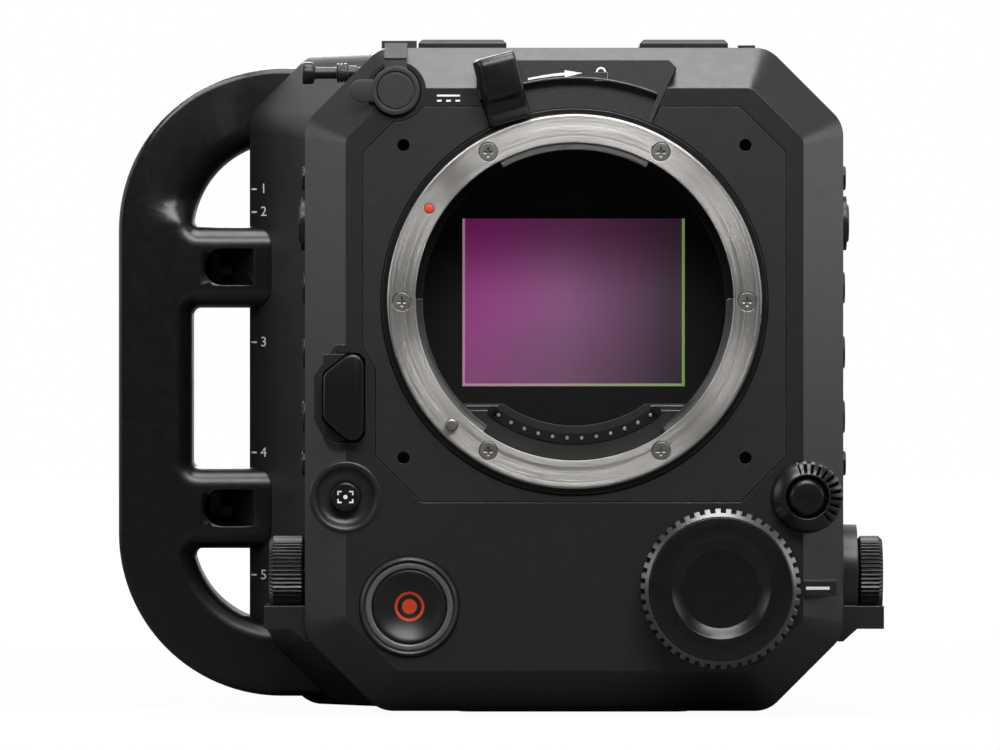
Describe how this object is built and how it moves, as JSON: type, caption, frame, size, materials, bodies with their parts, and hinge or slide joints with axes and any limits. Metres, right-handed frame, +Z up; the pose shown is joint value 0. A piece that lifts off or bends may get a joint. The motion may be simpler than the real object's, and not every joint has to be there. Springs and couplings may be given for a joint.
{
  "type": "cinema camera",
  "caption": "Box-shaped digital cinema camera body with a large open lens mount, lock lever, front dials and buttons, and a bolted side handle.",
  "frame": {"origin": "mouth of the tripod thread in the underside of the base plate", "axes": "-Y out of the lens mount, +X to the right as one faces the mount, +Z up"},
  "size_m": [0.1584, 0.1309, 0.1396],
  "materials": {
    "body_paint": "fine-grain matte paint",
    "front_plate_paint": "fine-grain matte paint",
    "lock_plate_paint": "matte paint",
    "mount_steel": "turned steel",
    "screw_steel": "polished steel",
    "hook_steel": "turned steel",
    "black_screws": "black oxide",
    "lock_black": "satin black",
    "light_box_black": "flat black",
    "filter_glass": "coated glass",
    "cover_glass": "coated glass",
    "sensor_face": "sensor surface",
    "contact_plastic": "matte",
    "contact_gold": "gold plated",
    "button_black": "satin",
    "rec_metal": "satin black",
    "rec_black": "satin",
    "dial_black": "satin black",
    "dial_button": "satin",
    "port_metal": "nickel",
    "cap_rubber": "matte rubber",
    "handle_black": "satin black",
    "pad_metal": "matte black",
    "frame_metal": "machined",
    "board_green": "solder mask",
    "fan_plastic": "moulded",
    "battery_plastic": "moulded",
    "door_plastic": "satin",
    "port_plastic": "moulded",
    "display_glass": "gloss window"
  },
  "bodies": {
    "camera": {"front_shell": "body_paint", "connector_side_cover": "body_paint", "control_side_cover": "body_paint", "top_cover": "body_paint", "bottom_cover": "body_paint", "rear_cover": "body_paint", "mount_plate": "front_plate_paint", "lock_plate": "lock_plate_paint", "mount_ring": "mount_steel", "mount_screws": "screw_steel", "tape_hook": "hook_steel", "side_screws": "black_screws", "light_box": "light_box_black", "nd_filter": "filter_glass", "sensor_cover_glass": "cover_glass", "image_sensor": "sensor_face", "contact_block": "contact_plastic", "contact_pins": "contact_gold", "rec_bezel": "rec_metal", "dc_outlet": "port_metal", "round_jacks": "port_metal", "video_sockets": "port_metal", "dc_cap_strap": "cap_rubber", "handle": "handle_black", "top_pads": "pad_metal", "base_plate": "pad_metal", "inner_frame": "frame_metal", "heat_sink": "frame_metal", "circuit_boards": "board_green", "fan_frame": "fan_plastic", "battery": "battery_plastic", "data_ports": "port_plastic", "side_displays": "display_glass"},
    "lock_ring_turns": {"lock_ring": "lock_black", "lock_lever": "lock_black"},
    "lens_lock_pin": {"lens_lock_pin": "screw_steel"},
    "lens_release": {"lens_release_button": "button_black"},
    "rec_button": {"rec_button": "rec_black"},
    "grab_button": {"grab_button": "button_black"},
    "small_dial": {"small_dial": "dial_black"},
    "small_dial_button": {"small_dial_button": "dial_button"},
    "filter_dial": {"filter_dial": "dial_black"},
    "right_side_wheel": {"right_side_wheel": "dial_black"},
    "left_side_wheel": {"left_side_wheel": "dial_black"},
    "dc_cap": {"dc_cap": "cap_rubber"},
    "fan": {"fan_rotor": "fan_plastic"},
    "battery_door": {"battery_door": "door_plastic"},
    "card_door": {"card_door": "door_plastic"},
    "left_button_1": {"left_button_1": "button_black"},
    "left_button_2": {"left_button_2": "button_black"},
    "left_button_3": {"left_button_3": "button_black"},
    "left_button_4": {"left_button_4": "button_black"},
    "left_button_5": {"left_button_5": "button_black"},
    "left_button_6": {"left_button_6": "button_black"},
    "right_button_1": {"right_button_1": "button_black"},
    "right_button_2": {"right_button_2": "button_black"},
    "right_button_3": {"right_button_3": "button_black"},
    "right_button_4": {"right_button_4": "button_black"},
    "right_button_5": {"right_button_5": "button_black"},
    "right_button_6": {"right_button_6": "button_black"}
  },
  "joints": [
    {"name": "lock_turn", "type": "hinge", "parent": "camera", "child": "lock_ring_turns", "pos_m": [0, -0.06, 0.0849], "axis": [0, 1, 0], "range_deg": [0, 36]},
    {"name": "lens_release_press", "type": "slide", "parent": "camera", "child": "lens_release", "axis": [0, 1, 0], "range_m": [0, 0.0022], "stiffness_N_per_m": 500},
    {"name": "lock_pin_slide", "type": "slide", "parent": "camera", "child": "lens_lock_pin", "axis": [0, 1, 0], "range_m": [0, 0.0022]},
    {"name": "rec_press", "type": "slide", "parent": "camera", "child": "rec_button", "axis": [0, 1, 0], "range_m": [0, 0.0008], "stiffness_N_per_m": 500},
    {"name": "grab_press", "type": "slide", "parent": "camera", "child": "grab_button", "axis": [0, 1, 0], "range_m": [0, 0.0008], "stiffness_N_per_m": 500},
    {"name": "small_dial_turn", "type": "hinge", "parent": "camera", "child": "small_dial", "pos_m": [0.0474, -0.06, 0.045], "axis": [0, 1, 0], "continuous": true},
    {"name": "small_dial_press", "type": "slide", "parent": "small_dial", "child": "small_dial_button", "axis": [0, 1, 0], "range_m": [0, 0.0005], "stiffness_N_per_m": 500},
    {"name": "filter_dial_turn", "type": "hinge", "parent": "camera", "child": "filter_dial", "pos_m": [0.0297, -0.06, 0.0264], "axis": [0, 1, 0], "continuous": true},
    {"name": "right_wheel_turn", "type": "hinge", "parent": "camera", "child": "right_side_wheel", "pos_m": [0.0552, -0.0408, 0.0288], "axis": [1, 0, 0], "continuous": true},
    {"name": "left_wheel_turn", "type": "hinge", "parent": "camera", "child": "left_side_wheel", "pos_m": [-0.0552, -0.0408, 0.0288], "axis": [1, 0, 0], "continuous": true},
    {"name": "dc_cap_pull", "type": "slide", "parent": "camera", "child": "dc_cap", "axis": [0, -1, 0], "range_m": [0, 0.003], "deforming": ["dc_cap_strap"]},
    {"name": "fan_spin", "type": "hinge", "parent": "camera", "child": "fan", "pos_m": [0, 0.004, 0.0849], "axis": [0, 1, 0], "continuous": true},
    {"name": "battery_door_swing", "type": "hinge", "parent": "camera", "child": "battery_door", "pos_m": [-0.03, 0.051, 0.032], "axis": [0, 0, 1], "range_deg": [0, 100]},
    {"name": "card_door_swing", "type": "hinge", "parent": "camera", "child": "card_door", "pos_m": [0.0542, 0.018, 0.062], "axis": [0, 0, 1], "range_deg": [0, 100]},
    {"name": "left_button_1_press", "type": "slide", "parent": "camera", "child": "left_button_1", "axis": [1, 0, 0], "range_m": [0, 0.0005], "stiffness_N_per_m": 500},
    {"name": "left_button_2_press", "type": "slide", "parent": "camera", "child": "left_button_2", "axis": [1, 0, 0], "range_m": [0, 0.0005], "stiffness_N_per_m": 500},
    {"name": "left_button_3_press", "type": "slide", "parent": "camera", "child": "left_button_3", "axis": [1, 0, 0], "range_m": [0, 0.0005], "stiffness_N_per_m": 500},
    {"name": "left_button_4_press", "type": "slide", "parent": "camera", "child": "left_button_4", "axis": [1, 0, 0], "range_m": [0, 0.0005], "stiffness_N_per_m": 500},
    {"name": "left_button_5_press", "type": "slide", "parent": "camera", "child": "left_button_5", "axis": [1, 0, 0], "range_m": [0, 0.0005], "stiffness_N_per_m": 500},
    {"name": "left_button_6_press", "type": "slide", "parent": "camera", "child": "left_button_6", "axis": [1, 0, 0], "range_m": [0, 0.0005], "stiffness_N_per_m": 500},
    {"name": "right_button_1_press", "type": "slide", "parent": "camera", "child": "right_button_1", "axis": [-1, 0, 0], "range_m": [0, 0.0005], "stiffness_N_per_m": 500},
    {"name": "right_button_2_press", "type": "slide", "parent": "camera", "child": "right_button_2", "axis": [-1, 0, 0], "range_m": [0, 0.0005], "stiffness_N_per_m": 500},
    {"name": "right_button_3_press", "type": "slide", "parent": "camera", "child": "right_button_3", "axis": [-1, 0, 0], "range_m": [0, 0.0005], "stiffness_N_per_m": 500},
    {"name": "right_button_4_press", "type": "slide", "parent": "camera", "child": "right_button_4", "axis": [-1, 0, 0], "range_m": [0, 0.0005], "stiffness_N_per_m": 500},
    {"name": "right_button_5_press", "type": "slide", "parent": "camera", "child": "right_button_5", "axis": [-1, 0, 0], "range_m": [0, 0.0005], "stiffness_N_per_m": 500},
    {"name": "right_button_6_press", "type": "slide", "parent": "camera", "child": "right_button_6", "axis": [-1, 0, 0], "range_m": [0, 0.0005], "stiffness_N_per_m": 500}
  ],
  "couplings": [
    {"joint": "lock_pin_slide", "follows": "lens_release_press", "ratio": 1}
  ]
}
